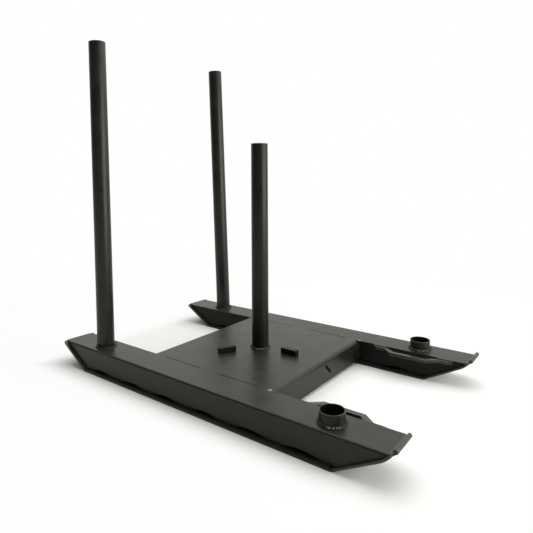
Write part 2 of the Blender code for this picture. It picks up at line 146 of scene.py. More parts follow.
def mesh_of(bm: Shape, name: str) -> bpy.types.Mesh:
    """Turn a bmesh into a mesh.

    Args:
        bm: The shape; it is freed.
        name: The mesh's name.

    Returns:
        The new mesh.
    """
    data = bpy.data.meshes.new(name)
    bm.to_mesh(data)
    bm.free()
    return data


def linked(data: bpy.types.ID) -> bpy.types.Object:
    """Make an object of a mesh, a lamp or a camera, and link it to the scene.

    Args:
        data: The mesh, lamp or camera, whose name the object takes.

    Returns:
        The new object.
    """
    made = bpy.data.objects.new(data.name, data)
    bpy.context.scene.collection.objects.link(made)
    return made


class Wiring:
    """Adds and joins nodes in one node tree."""

    def __init__(self, tree: Tree) -> None:
        """Keep the tree to work on."""
        self.tree = tree

    def add(self, kind: str, values: dict[str, object] | None = None, **settings: object) -> Node:
        """Add a node.

        Args:
            kind: The node's type name without the "ShaderNode" in front.
            values: Default values of its inputs, by socket name or number.
            settings: Properties of the node itself.

        Returns:
            The new node.
        """
        node = self.tree.nodes.new("ShaderNode" + kind)
        for key, value in settings.items():
            setattr(node, key, value)
        for key, value in (values or {}).items():
            node.inputs[key].default_value = value
        return node

    def join(self, source: Socket, target: Socket) -> None:
        """Link an output to an input."""
        self.tree.links.new(source, target)

    def feed(self, item: object, target: Socket) -> None:
        """Link a socket to an input, or write a value on the input.

        Args:
            item: A socket, a number or a colour of three numbers.
            target: The input.
        """
        if isinstance(item, Socket):
            self.join(item, target)
        elif isinstance(item, tuple):
            target.default_value = (*item, 1.0)
        else:
            target.default_value = float(item)

    def maths(self, operation: str, *items: object, clamp: bool = False) -> Socket:
        """Combine numbers or sockets with one Math node.

        Args:
            operation: The Math node's operation.
            items: One to three numbers or sockets.
            clamp: Whether the result stays from 0 to 1.

        Returns:
            The socket that holds the result.
        """
        node = self.add("Math", operation=operation, use_clamp=clamp)
        for index, item in enumerate(items):
            self.feed(item, node.inputs[index])
        return node.outputs[0]

    def blend(self, factor: object, first: object, second: object) -> Socket:
        """Mix two colours or colour sockets by a factor.

        Args:
            factor: A number or a socket from 0 to 1.
            first: The colour at 0.
            second: The colour at 1.

        Returns:
            The mixed colour's socket.
        """
        node = self.add("Mix", data_type="RGBA")
        for index, item in ((0, factor), (6, first), (7, second)):
            self.feed(item, node.inputs[index])
        return node.outputs[2]

    def spread(self, source: Socket, low: float, high: float, to: Pair = (0.0, 1.0)) -> Socket:
        """Remap a value smoothly from one span to another.

        Args:
            source: The value.
            low: Where the span starts.
            high: Where the span ends.
            to: What the two ends become.

        Returns:
            The remapped value's socket.
        """
        node = self.add("MapRange", {1: low, 2: high, 3: to[0], 4: to[1]}, interpolation_type="SMOOTHSTEP")
        self.join(source, node.inputs[0])
        return node.outputs[0]

    def texture(self, place: Socket, scale: object, **values: float) -> Socket:
        """Add a noise texture.

        Args:
            place: The coordinate that it reads.
            scale: Its scale, a number or a socket.
            values: Its other inputs' values, by socket name.

        Returns:
            The socket of its factor.
        """
        node = self.add("TexNoise", values)
        self.join(place, node.inputs["Vector"])
        self.feed(scale, node.inputs["Scale"])
        return node.outputs[0]

    def place(self) -> Socket:
        """Return the Object coordinate."""
        return self.add("TexCoord").outputs["Object"]

    def emboss(self, height: Socket, strength: float, depth: float, shader: Node) -> None:
        """Raise a height on a shader's surface.

        Args:
            height: The height.
            strength: How strongly it shows.
            depth: What a height of 1 means, in metres.
            shader: The shader.
        """
        bump = self.add("Bump", {"Strength": strength, "Distance": depth})
        self.join(height, bump.inputs["Height"])
        self.join(bump.outputs[0], shader.inputs["Normal"])


def start_material(name: str, gloss: float) -> tuple[Material, Wiring, Node]:
    """Start a node material.

    Args:
        name: The material's name.
        gloss: Its specular level.

    Returns:
        The material, its wiring and its shader.
    """
    made = bpy.data.materials.new(name)
    made.use_nodes = True
    shader = made.node_tree.nodes["Principled BSDF"]
    shader.inputs["Specular IOR Level"].default_value = gloss
    return made, Wiring(made.node_tree), shader


class SharedGroups:
    """Node groups for the effects that more than one finish uses."""

    def __init__(self) -> None:
        """Start with no group built."""
        self.built: dict[Effect, Tree] = {}

    def node(self, wires: Wiring, effect: Effect, **values: float) -> Node:
        """Place an effect in a material, its group built at its first use.

        Args:
            wires: The material's wiring.
            effect: Which effect.
            values: The group's input values, by socket name.

        Returns:
            The group node.
        """
        makers = {
            Effect.GRAIN: self._powder_grain,
            Effect.WORN_AND_HIGHLIT: self._polished_and_highlit_edges,
            Effect.DUST: self._settled_dust,
            Effect.SCUFFS: self._scuffs,
        }
        if effect not in self.built:
            tree = bpy.data.node_groups.new(effect.value, "ShaderNodeTree")
            makers[effect](tree)
            self.built[effect] = tree
        return wires.add("Group", values, node_tree=self.built[effect])

    @staticmethod
    def _ends(
        tree: Tree, inputs: dict[str, float], outputs: tuple[str, ...] = ("Mask",)
    ) -> tuple[Wiring, Node, Node, Socket]:
        """Make a group's sockets, its two end nodes and the place it reads.

        Args:
            tree: The group's tree.
            inputs: Input names with their defaults.
            outputs: Output names.

        Returns:
            The wiring, the input node, the output node and the Object coordinate.
        """
        for key, value in inputs.items():
            made = tree.interface.new_socket(name=key, in_out="INPUT", socket_type="NodeSocketFloat")
            made.default_value = value
        for key in outputs:
            tree.interface.new_socket(name=key, in_out="OUTPUT", socket_type="NodeSocketFloat")
        wires = Wiring(tree)
        return wires, tree.nodes.new("NodeGroupInput"), tree.nodes.new("NodeGroupOutput"), wires.place()

    @staticmethod
    def _end_in_mask(wires: Wiring, source: Node, target: Node, parts: tuple[Socket, Socket]) -> None:
        """Put out the product of two masks and of the group's Amount.

        Args:
            wires: The group's wiring.
            source: Its input node.
            target: Its output node.
            parts: The two masks.
        """
        both = wires.maths("MULTIPLY", *parts)
        mask = wires.maths("MULTIPLY", both, source.outputs["Amount"], clamp=True)
        wires.join(mask, target.inputs["Mask"])

    def _powder_grain(self, tree: Tree) -> None:
        """Orange peel height, fine speckle and slow mottling of a powder coat.

        Args:
            tree: The group's empty tree.
        """
        wires, source, target, place = self._ends(
            tree, {"Peel": 620.0, "Speck": 2400.0, "Mottle": 14.0}, ("Height", "Fleck", "Cloud")
        )
        peel = wires.texture(place, source.outputs["Peel"], Detail=2.0, Roughness=0.45)
        speck = wires.texture(place, source.outputs["Speck"], Detail=1.0, Roughness=0.5)
        cloud = wires.texture(place, source.outputs["Mottle"], Detail=5.0, Roughness=0.62, Distortion=0.4)
        height = wires.maths("ADD", peel, wires.maths("MULTIPLY", speck, 0.35))
        wires.join(height, target.inputs["Height"])
        wires.join(wires.spread(speck, 0.55, 0.72), target.inputs["Fleck"])
        wires.join(wires.spread(cloud, 0.32, 0.68), target.inputs["Cloud"])

    def _polished_and_highlit_edges(self, tree: Tree) -> None:
        """Mask of corners where handling polishes and thins the coat, and where a coat with a large share of
        it paints its edge highlights.

        Args:
            tree: The group's empty tree.
        """
        wires, source, target, place = self._ends(tree, {"Breakup": 60.0, "Amount": 0.5})
        round_off = wires.add("Bevel", {"Radius": 0.0016}, samples=4)
        shape = wires.add("NewGeometry")
        dot = wires.add("VectorMath", operation="DOT_PRODUCT")
        wires.join(round_off.outputs[0], dot.inputs[0])
        wires.join(shape.outputs["Normal"], dot.inputs[1])
        corner = wires.spread(dot.outputs["Value"], 0.995, 0.86)
        patch = wires.texture(place, source.outputs["Breakup"], Detail=4.0, Roughness=0.6)
        broken = wires.spread(patch, 0.38, 0.66, (0.15, 1.0))
        self._end_in_mask(wires, source, target, (corner, broken))

    def _settled_dust(self, tree: Tree) -> None:
        """Mask of fine dust on faces that look up, in drifts and specks.

        Args:
            tree: The group's empty tree.
        """
        wires, source, target, place = self._ends(tree, {"Drift": 9.0, "Amount": 0.5})
        shape = wires.add("NewGeometry")
        parts = wires.add("SeparateXYZ")
        wires.join(shape.outputs["Normal"], parts.inputs[0])
        upward = wires.spread(parts.outputs[2], 0.35, 0.95)
        drift = wires.texture(place, source.outputs["Drift"], Detail=6.0, Roughness=0.68)
        patch = wires.spread(drift, 0.36, 0.70, (0.25, 1.0))
        self._end_in_mask(wires, source, target, (upward, patch))

    def _scuffs(self, tree: Tree) -> None:
        """Mask of thin rub lines that run along the sled.

        Args:
            tree: The group's empty tree.
        """
        wires, source, target, place = self._ends(tree, {"Lines": 90.0, "Amount": 0.3})
        squeeze = wires.add("Mapping", {"Scale": (0.045, 1.0, 1.0)})
        wires.join(place, squeeze.inputs["Vector"])
        lines = wires.texture(squeeze.outputs[0], source.outputs["Lines"], Detail=3.0, Roughness=0.75)
        where = wires.texture(place, 7.0, Detail=2.0)
        thin = wires.spread(lines, 0.60, 0.72)
        patch = wires.spread(where, 0.45, 0.62)
        self._end_in_mask(wires, source, target, (thin, patch))


GROUPS = SharedGroups()


@dataclass(frozen=True)
class PowderCoat:
    """Black powder coat on steel, from matt to satin; darker and lighter copies of it paint shade and light
    on some pieces.

    Attributes:
        name: The material's name.
        shade: The coat's darker tone.
        tint: The coat's lighter tone.
        roughness: Mean roughness.
        gloss: Specular level of the coat.
        peel: Depth of the orange peel, in metres.
        dust: Share of dust on faces that look up.
        edge_polish_and_highlight: Share of polish on the edges, and of painted highlight there.
        scuff: Share of rub lines.
        DUST: Colour of the dust and of the coat's flecks.
        SHEEN: Tint of what the coat reflects.
        BARE_METAL_AND_GLINT: Tone of worn edges, of painted edge highlights and of rub lines.
        POLISH_AND_HIGHLIGHT_TONE: Share of that tone on a masked edge, as polish and as painted highlight.
        FLECK_TONE: Share of the dust's colour in a fleck.
        CLOUDING: Swing of the roughness over the mottling.
        CHALK: Roughness that dust adds.
        SHINE: Roughness that a masked edge loses.
        BUMP: Strength of the orange peel.
    """

    name: str
    shade: Triple
    tint: Triple
    roughness: float
    gloss: float
    peel: float = 0.00010
    dust: float = 0.05
    edge_polish_and_highlight: float = 0.5
    scuff: float = 0.0

    DUST: ClassVar[Triple] = (0.19, 0.190, 0.165)
    SHEEN: ClassVar[Triple] = (0.99, 1.0, 0.88)
    BARE_METAL_AND_GLINT: ClassVar[Triple] = (0.20, 0.20, 0.19)
    POLISH_AND_HIGHLIGHT_TONE: ClassVar[float] = 0.55
    FLECK_TONE: ClassVar[float] = 0.10
    CLOUDING: ClassVar[float] = 0.10
    CHALK: ClassVar[float] = 0.35
    SHINE: ClassVar[float] = 0.18
    BUMP: ClassVar[float] = 0.55

    def material(self) -> Material:
        """Build the finish as a node material.

        Returns:
            The new material.
        """
        made, wires, shader = start_material(self.name, self.gloss)
        shader.inputs["Specular Tint"].default_value = (*self.SHEEN, 1.0)
        shader.inputs["IOR"].default_value = 1.5
        grain = GROUPS.node(wires, Effect.GRAIN)
        # Edge mask: polish where handling rubs the coat, and a painted highlight where a coat takes a large
        # share of it.
        polish_and_highlight_mask = GROUPS.node(wires, Effect.WORN_AND_HIGHLIT, Amount=self.edge_polish_and_highlight).outputs["Mask"]
        dusty = GROUPS.node(wires, Effect.DUST, Amount=self.dust).outputs["Mask"]
        cloud = grain.outputs["Cloud"]
        colour = wires.blend(cloud, self.shade, self.tint)
        colour = wires.blend(dusty, colour, self.DUST)
        colour = wires.blend(wires.maths("MULTIPLY", polish_and_highlight_mask, self.POLISH_AND_HIGHLIGHT_TONE), colour, self.BARE_METAL_AND_GLINT)
        fleck = wires.maths("MULTIPLY", grain.outputs["Fleck"], self.FLECK_TONE)
        colour = wires.blend(fleck, colour, self.DUST)
        rough = wires.maths("MULTIPLY_ADD", cloud, self.CLOUDING, self.roughness - self.CLOUDING / 2.0)
        rough = wires.maths("ADD", rough, wires.maths("MULTIPLY", dusty, self.CHALK))
        rough = wires.maths("SUBTRACT", rough, wires.maths("MULTIPLY", polish_and_highlight_mask, self.SHINE), clamp=True)
        if self.scuff > 0.0:
            lines = GROUPS.node(wires, Effect.SCUFFS, Amount=self.scuff)
            colour = wires.blend(lines.outputs["Mask"], colour, self.BARE_METAL_AND_GLINT)
        wires.join(colour, shader.inputs["Base Color"])
        wires.join(rough, shader.inputs["Roughness"])
        wires.emboss(grain.outputs["Height"], self.BUMP, self.peel, shader)
        return made


@dataclass(frozen=True)
class MouldedPlastic:
    """Black moulded plastic of the push-in caps.

    Attributes:
        name: The material's name.
        colour: Its colour.
        roughness: Mean roughness.
        gloss: Specular level.
        dust: Share of dust on faces that look up.
        clouding: Swing of the roughness over the mottling.
        bump: Strength of the moulded grain.
        depth: Depth of the moulded grain, in metres.
    """

    name: str
    colour: Triple
    roughness: float
    gloss: float = 0.4
    dust: float = 0.12
    clouding: float = 0.12
    bump: float = 0.35
    depth: float = 0.00006

    def material(self) -> Material:
        """Build the finish as a node material.

        Returns:
            The new material.
        """
        made, wires, shader = start_material(self.name, self.gloss)
        grain = GROUPS.node(wires, Effect.GRAIN, Peel=1500.0, Mottle=40.0)
        dusty = GROUPS.node(wires, Effect.DUST, Amount=self.dust, Drift=30.0)
        colour = wires.blend(dusty.outputs["Mask"], self.colour, PowderCoat.DUST)
        wires.join(colour, shader.inputs["Base Color"])
        low = self.roughness - self.clouding / 2.0
        rough = wires.maths("MULTIPLY_ADD", grain.outputs["Cloud"], self.clouding, low)
        wires.join(rough, shader.inputs["Roughness"])
        wires.emboss(grain.outputs["Height"], self.bump, self.depth, shader)
        return made


DECK_COAT = PowderCoat(
    "deck_matt_powder_coat", (0.010, 0.010, 0.009), (0.019, 0.019, 0.017), 0.34, 0.23, dust=0.06, edge_polish_and_highlight=0.4
)
# Darker copies of the black coat, which paint the shade on the inner plates, the floor plates and the corner
# welds between them and the deck.
PLATE_SHADE_COAT = PowderCoat(
    "side_plate_powder_coat", (0.004, 0.004, 0.004), (0.008, 0.008, 0.008), 0.42, 0.14, dust=0.04, edge_polish_and_highlight=0.4
)
FLOOR_SHADE_COAT = PowderCoat(
    "floor_plate_powder_coat", (0.004, 0.004, 0.004), (0.008, 0.008, 0.008), 0.45, 0.16, dust=0.04, edge_polish_and_highlight=0.4
)
# Lighter copy of the black coat, which paints the skid's edge faces as lit; its large edge share paints
# highlights along the skid's edges as well as polish.
SKID_LIT_COAT = PowderCoat(
    "skid_powder_coat", (0.018, 0.018, 0.017), (0.034, 0.034, 0.032), 0.38, 0.36,
    dust=0.08, edge_polish_and_highlight=1.3, scuff=0.25,
)
# Lighter copy of the black coat, which paints the bow as lit so that it stands out from the shaded plate.
BOW_LIT_COAT = PowderCoat(
    "strap_bow_powder_coat", (0.018, 0.018, 0.016), (0.032, 0.032, 0.030), 0.32, 0.38, dust=0.12
)
# Its large edge share paints highlights on the socket's and sleeve's rims, along with polish.
SOCKET_COAT = PowderCoat(
    "socket_satin_powder_coat", (0.005, 0.005, 0.005), (0.010, 0.010, 0.010), 0.36, 0.24,
    peel=0.00014, edge_polish_and_highlight=1.0,
)
WELD_COAT = PowderCoat(
    "painted_weld_bead", (0.010, 0.010, 0.009), (0.026, 0.026, 0.024), 0.48, 0.10, dust=0.04, edge_polish_and_highlight=0.3
)
POST_COAT = PowderCoat("post_satin_powder_coat", (0.007, 0.008, 0.006), (0.012, 0.013, 0.010), 0.36, 0.225)
POLE_COAT = PowderCoat("pole_satin_powder_coat", (0.008, 0.009, 0.007), (0.014, 0.015, 0.012), 0.36, 0.29)
# Near-black matt copy of the coat, which paints the shade inside a tube's bore.
BORE_SHADE_COAT = PowderCoat(
    "bore_painted_shade", (0.0015, 0.0015, 0.0015), (0.003, 0.003, 0.003), 0.70, 0.03, dust=0.0, edge_polish_and_highlight=0.0
)
# Near-black copy of the coat, which paints shade on the blocks' faces; its large edge share paints highlights
# on their edges.
LUG_SHADE_COAT = PowderCoat(
    "lug_shaded_powder_coat", (0.003, 0.003, 0.003), (0.006, 0.006, 0.006), 0.38, 0.11, dust=0.10, edge_polish_and_highlight=0.9
)
# Bright coat, which paints glints on the weld drops.
GLINT_DROP_COAT = PowderCoat(
    "weld_drops_painted_glint", (0.10, 0.10, 0.097), (0.21, 0.21, 0.202), 0.38, 0.55, dust=0.0, edge_polish_and_highlight=0.3
)
CAP_PLASTIC = MouldedPlastic("cap_black_plastic", (0.012, 0.012, 0.012), 0.42)


class Workshop:
    """Turns bmeshes into finished, riding, dressed pieces."""

    def __init__(self) -> None:
        """Start with an empty shelf of materials."""
        self.shelf: dict[str, Material] = {}

    def paint(self, finish: PowderCoat | MouldedPlastic) -> Material:
        """Return a finish's material, built at its first use.

        Args:
            finish: The finish.

        Returns:
            Its material.
        """
        if finish.name not in self.shelf:
            self.shelf[finish.name] = finish.material()
        return self.shelf[finish.name]

    def finish(
        self,
        bm: Shape,
        name: str,
        coat: PowderCoat | MouldedPlastic,
        slot: str,
        body: Body = Body.SLED,
        replaces: tuple[str, ...] = (),
        edge: float = 0.0,
        shade_finish: PowderCoat | None = None,
    ) -> None:
        """Make a piece of a bmesh, dress it and hang it on its body.

        Args:
            bm: The shape, in the model's frame; it is freed.
            name: The piece's name.
            coat: Its finish.
            slot: The record's material slot that it follows; not used.
            body: The body it rides on.
            replaces: The CAD nodes it stands for.
            edge: Width of the rounded edges, or 0 for none.
            shade_finish: Finish that paints shade on the faces that the shape marks with material 1.
        """
        data = mesh_of(bm, name)
        data.shade_smooth()
        data.set_sharp_from_angle(angle=SMOOTH_LIMIT)
        data.materials.append(self.paint(coat))
        if shade_finish is not None:
            data.materials.append(self.paint(shade_finish))
        made = linked(data)
        if edge > 0.0:
            ease = made.modifiers.new("eased_edges", "BEVEL")
            ease.width = edge
            ease.segments = 2
            ease.limit_method = "ANGLE"
            ease.angle_limit = SMOOTH_LIMIT
            ease.harden_normals = True
            even = made.modifiers.new("even_shading", "WEIGHTED_NORMAL")
            even.keep_sharp = True
        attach(made, body.value)
        if replaces:
            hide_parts(*replaces)
        LOG.info("%s: %d faces on %s", name, len(data.polygons), body.value)

    def dressed_copy(
        self, node: str, name: str, coat: PowderCoat, slot: str, edge: float,
        rework: Callable[[Shape], None] | None = None,
    ) -> None:
        """Copy a flat or folded CAD node, merge it, ease its edges and dress it.

        Args:
            node: The CAD node.
            name: The new piece's name.
            coat: Its finish.
            slot: The record's material slot.
            edge: Width of the eased edges.
            rework: What else is done to the merged shape, such as rounded corners.
        """
        bm = bmesh.new()
        bm.from_mesh(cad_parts[node].data)
        bmesh.ops.remove_doubles(bm, verts=bm.verts, dist=CAD_MERGE)
        bmesh.ops.dissolve_limit(
            bm, angle_limit=FLAT_ANGLE, verts=bm.verts, edges=bm.edges, delimit={"NORMAL"}
        )
        if rework is not None:
            rework(bm)
        self.finish(bm, name, coat, slot, Body.SLED, (node,), edge)

    def stand(
        self,
        piece: "Tube | PushInCap | RippledBead",
        spot: Vector,
        name: str,
        coat: PowderCoat | MouldedPlastic,
        slot: str,
        replaces: tuple[str, ...] = (),
        body: Body = Body.SLED,
        lean: float = 0.0,
    ) -> None:
        """Stand a turned piece on its spot and dress it, with painted shade in a tube's bore.

        Args:
            piece: The piece, round its own axis.
            spot: Where its origin goes.
            name: The piece's name.
            coat: Its finish.
            slot: The record's material slot.
            replaces: The CAD nodes it stands for.
            body: The body it rides on.
            lean: How far it leans rearward, in radians.
        """
        bm = piece.shape()
        turn = Matrix.Translation(spot) @ Matrix.Rotation(-lean, 4, "Y")
        bmesh.ops.transform(bm, matrix=turn, verts=bm.verts)
        # A tube's bore takes the near-black coat as painted shade.
        shade_finish = BORE_SHADE_COAT if isinstance(piece, Tube) else None
        self.finish(bm, name, coat, slot, body, replaces, shade_finish=shade_finish)

    @staticmethod
    def round_edges(bm: Shape, wanted: Callable[[Edge], bool], radius: float, segments: int) -> None:
        """Round the edges of a shape that a test picks.

        Args:
            bm: The shape.
            wanted: Says whether an edge is rounded.
            radius: How far the rounding reaches from each edge.
            segments: Steps of the rounding.
        """
        picked = [edge for edge in bm.edges if edge.is_manifold and wanted(edge)]
        bmesh.ops.bevel(
            bm, geom=picked, offset=radius, offset_type="OFFSET", segments=segments,
            profile=0.5, affect="EDGES", material=-1, clamp_overlap=True,
        )

    @staticmethod
    def spun(section: list[Pair], steps: int, rims: float = 0.0, closed: bool = True) -> Shape:
        """Spin a (radius, height) section round Z and round its rims.

        Args:
            section: The corners, off the axis, or from axis to axis where it is open.
            steps: Steps of the full turn.
            rims: Radius of the rounded rims, or 0 for none.
            closed: Whether the last corner joins the first.

        Returns:
            The closed shape.
        """
        bm = bmesh.new()
        line = [bm.verts.new((radius, 0.0, height)) for radius, height in section]
        first = 0 if closed else 1
        edges = [bm.edges.new((line[index - 1], line[index])) for index in range(first, len(line))]
        bmesh.ops.spin(
            bm, geom=line + edges, cent=(0.0, 0.0, 0.0), axis=UP,
            angle=2.0 * math.pi, steps=steps, use_merge=True,
        )
        bmesh.ops.remove_doubles(bm, verts=bm.verts, dist=SPUN_MERGE)
        bmesh.ops.recalc_face_normals(bm, faces=bm.faces)
        if rims > 0.0:
            Workshop.round_edges(bm, lambda edge: edge.calc_face_angle(0.0) > RIM_ANGLE, rims, 3)
        return bm


def axis_foot(node: str) -> Vector:
    """Return where an upright CAD node's axis meets the ground."""
    low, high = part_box(node)
    return Vector(((low.x + high.x) / 2.0, (low.y + high.y) / 2.0, 0.0))


@dataclass
class Tube:
    """A round steel tube with softly rounded rims.

    Attributes:
        outer: Its outer radius.
        inner: Its inner radius.
        low: Height of its lower end.
        high: Height of its upper end.
        rim: Radius of its rounded rims.
        steps: Steps of the full turn.
    """

    outer: float
    inner: float
    low: float
    high: float
    rim: float = 0.0006
    steps: int = 112

    def shape(self) -> Shape:
        """Build the tube and mark the faces of its bore, which take painted shade.

        Returns:
            The tube round its own axis.
        """
        section = [
            (self.inner, self.low),
            (self.outer, self.low),
            (self.outer, self.high),
            (self.inner, self.high),
        ]
        bm = Workshop.spun(section, self.steps, self.rim)
        for face in bm.faces:
            spot = face.calc_center_median()
            if math.hypot(spot.x, spot.y) < self.inner + TOUCHING:
                face.material_index = 1
        return bm


@dataclass
class PushInCap:
    """A moulded cap: a chamfered plug in the tube under a domed rim on its end.

    Attributes:
        outer: The tube's outer radius.
        bore: The tube's inner radius.
        seat: Height of the tube's end.
        rim: Height of the rim over the tube.
        plug: Length of the plug.
        dome: Height of the dome.
        chamfer: Chamfer at the plug's end.
        play: Gap between the plug and the bore, and rounding of the rim.
        curve: Places on the dome: share of the radius, and fall as a share of the dome.
        steps: Steps of the full turn.
    """

    outer: float
    bore: float
    seat: float
    rim: float = 0.003
    plug: float = 0.014
    dome: float = 0.0008
    chamfer: float = 0.0012
    play: float = 0.0004
    curve: tuple[Pair, ...] = ((0.72, 0.22), (0.40, 0.05), (0.0, 0.0))
    steps: int = 96

    def shape(self) -> Shape:
        """Build the cap.

        Returns:
            The cap round its own axis.
        """
        top = self.seat + self.rim
        foot = self.seat - self.plug
        line = [
            (0.0, foot),
            (self.bore - self.chamfer, foot),
            (self.bore - self.play, foot + self.chamfer),
            (self.bore - self.play, self.seat),
            (self.outer, self.seat),
            (self.outer, top - self.dome - self.play),
            (self.outer - 0.75 * self.play, top - self.dome),
            (self.outer - 2.75 * self.play, top - 0.6 * self.dome),
        ]
        line += [(share * self.outer, top - fall * self.dome) for share, fall in self.curve]
        return Workshop.spun(line, self.steps, closed=False)


@dataclass(kw_only=True)
class Bead:
    """What every weld bead has: a section, overlapping ripples and an edge that strays.

    Attributes:
        leg: Leg of a fillet, or half the width of a flush bead.
        pitch: Length of one ripple.
        stray: How fast the edge strays, round the tube or along the seam.
        section_steps: Steps over the bead's face.
        ripple_steps: Steps in one ripple.
        bulge: Bulge of a fillet's face as a share of its leg.
        lag: How far a ripple trails in the middle of the face, in radians.
        mean: Mean height of a ripple as a share of its depth.
        depth: Depth of the ripples.
        wander: How far the edge strays.
        seed: Moves the stray from bead to bead.
    """

    leg: float
    pitch: float
    stray: float
    section_steps: int
    ripple_steps: int
    bulge: float = 0.13
    lag: float = 0.9
    mean: float = 0.6
    depth: float = 0.00022
    wander: float = 0.0005
    seed: float = 0.0

    def fillet(self) -> list[Pair]:
        """Work out a fillet's section.

        Returns:
            The corners, along the first and the second face.
        """
        section = [(0.0, 0.0), (self.leg, 0.0)]
        for step in range(1, self.section_steps):
            share = step / self.section_steps
            bulge = self.bulge * self.leg * math.sin(math.pi * share)
            section.append((self.leg * (1.0 - share) + bulge, self.leg * share + bulge))
        section.append((0.0, self.leg))
        return section

    def swell(self, phase: float, rise: float, place: Vector) -> float:
        """Work out how far the bead swells at one place.

        Args:
            phase: The place along the ripples, in radians.
            rise: Its height over the first face.
            place: Where the stray is read.

        Returns:
            The swell, in metres.
        """
        trail = self.lag * math.sin(math.pi * min(1.0, max(0.0, rise / self.leg)))
        wave = abs(math.sin(phase + trail))
        return self.depth * (wave - self.mean) + self.wander * noise.noise(place)


@dataclass(kw_only=True)
class RippledBead(Bead):
    """A fillet weld round a tube on the deck.

    Attributes:
        tube: The tube's radius.
        skin: How near the tube or the deck a corner counts as lying on it.
    """

    tube: float
    leg: float = 0.0045
    pitch: float = 0.0021
    stray: float = 3.0
    section_steps: int = 7
    ripple_steps: int = 5
    skin: float = 0.00002

    def shape(self) -> Shape:
        """Spin the fillet's section and press the ripples into its face.

        Returns:
            The bead round its own axis.
        """
        inner = self.tube + GAP
        low = DECK_TOP + GAP
        section = [(inner + out, low + rise) for out, rise in self.fillet()]
        ripples = round(2.0 * math.pi * (self.tube + 0.5 * self.leg) / self.pitch)
        bm = Workshop.spun(section, ripples * self.ripple_steps)
        for vert in bm.verts:
            flat = Vector((vert.co.x, vert.co.y, 0.0))
            rise = vert.co.z - low
            out = flat.length - inner
            turn = math.atan2(vert.co.y, vert.co.x)
            place = flat.normalized() * self.stray + UP * self.seed
            swell = self.swell(0.5 * ripples * turn, rise, place)
            if out > self.skin:
                vert.co += flat.normalized() * swell
            if rise > self.skin:
                vert.co.z += swell
        return bm


@dataclass
class WeldDrop:
    """A flat, lumpy drop of weld metal, which the drops' bright coat turns into a painted glint.

    Attributes:
        spot: Its middle.
        wide: Its radius.
        flat: Its height as a share of its width.
        seed: Moves the lumps from drop to drop.
        lumps: Depth of the lumps as a share of the radius.
    """

    spot: Vector
    wide: float
    flat: float = 0.30
    seed: float = 0.0
    lumps: float = 0.22

    def shape(self) -> Shape:
        """Build the drop.

        Returns:
            The drop in its place.
        """
        bm = bmesh.new()
        bmesh.ops.create_icosphere(bm, subdivisions=3, radius=self.wide)
        for vert in bm.verts:
            lump = noise.noise(vert.co / self.wide + Vector((self.seed, 0.0, 0.0)))
            vert.co *= 1.0 + self.lumps * lump
            vert.co.z *= self.flat
        bmesh.ops.translate(bm, vec=self.spot, verts=bm.verts)
        return bm


@dataclass
class BeadGlintDrops:
    """The few drops at the front right of a tube's bead on the deck, painted bright as the bead's highlight.

    Attributes:
        centre: The tube's axis on the ground.
        tube: The tube's radius.
        count: How many drops there are.
        start: Where they start round the tube, in degrees from the front.
        turn: Degrees from one to the next.
        sway: How far that strays.
        wide: Their mean radius.
        spread: How far the radius strays.
        out: How far they lie out of the tube's wall.
        up: How far they lie above the deck.
        flat: Their height as a share of their width.
    """

    centre: Vector
    tube: float
    count: int = 8
    start: float = -80.0
    turn: float = 6.5
    sway: float = 3.0
    wide: float = 0.0021
    spread: float = 0.0007
    out: float = 0.0024
    up: float = 0.0022
    flat: float = 0.6

    def shape(self) -> Shape:
        """Build the drops.

        Returns:
            All the drops as one shape.
        """
        whole = bmesh.new()
        for step in range(self.count):
            angle = math.radians(self.start + self.turn * step + self.sway * math.sin(2.7 * step))
            wide = self.wide + self.spread * math.sin(1.9 * step)
            way = Vector((math.cos(angle), math.sin(angle), 0.0))
            spot = self.centre + way * (self.tube + self.out) + UP * (DECK_TOP + self.up)
            data = mesh_of(WeldDrop(spot, wide, self.flat, 5.0 + step).shape(), "drop")
            whole.from_mesh(data)
            bpy.data.meshes.remove(data)
        return whole


@dataclass
class RolledEdge:
    """A thick round edge along the end of a skid's plate.

    Attributes:
        start: Middle of its first round end.
        end: Middle of its other round end.
        radius: Its radius.
        steps: Steps round it.
        rings: Rings of each round end.
    """

    start: Vector
    end: Vector
    radius: float
    steps: int = 20
    rings: int = 6

    def shape(self) -> Shape:
        """Pull a sphere apart into a straight bar with round ends.

        Returns:
            The bar in its place.
        """
        run = self.end - self.start
        bm = bmesh.new()
        bmesh.ops.create_uvsphere(bm, u_segments=self.steps, v_segments=2 * self.rings, radius=self.radius)
        half = run.length / 2.0
        for vert in bm.verts:
            vert.co.z += half if vert.co.z > 0.0 else -half
        turn = UP.rotation_difference(run).to_matrix().to_4x4()
        middle = Matrix.Translation((self.start + self.end) / 2.0)
        bmesh.ops.transform(bm, matrix=middle @ turn, verts=bm.verts)
        return bm


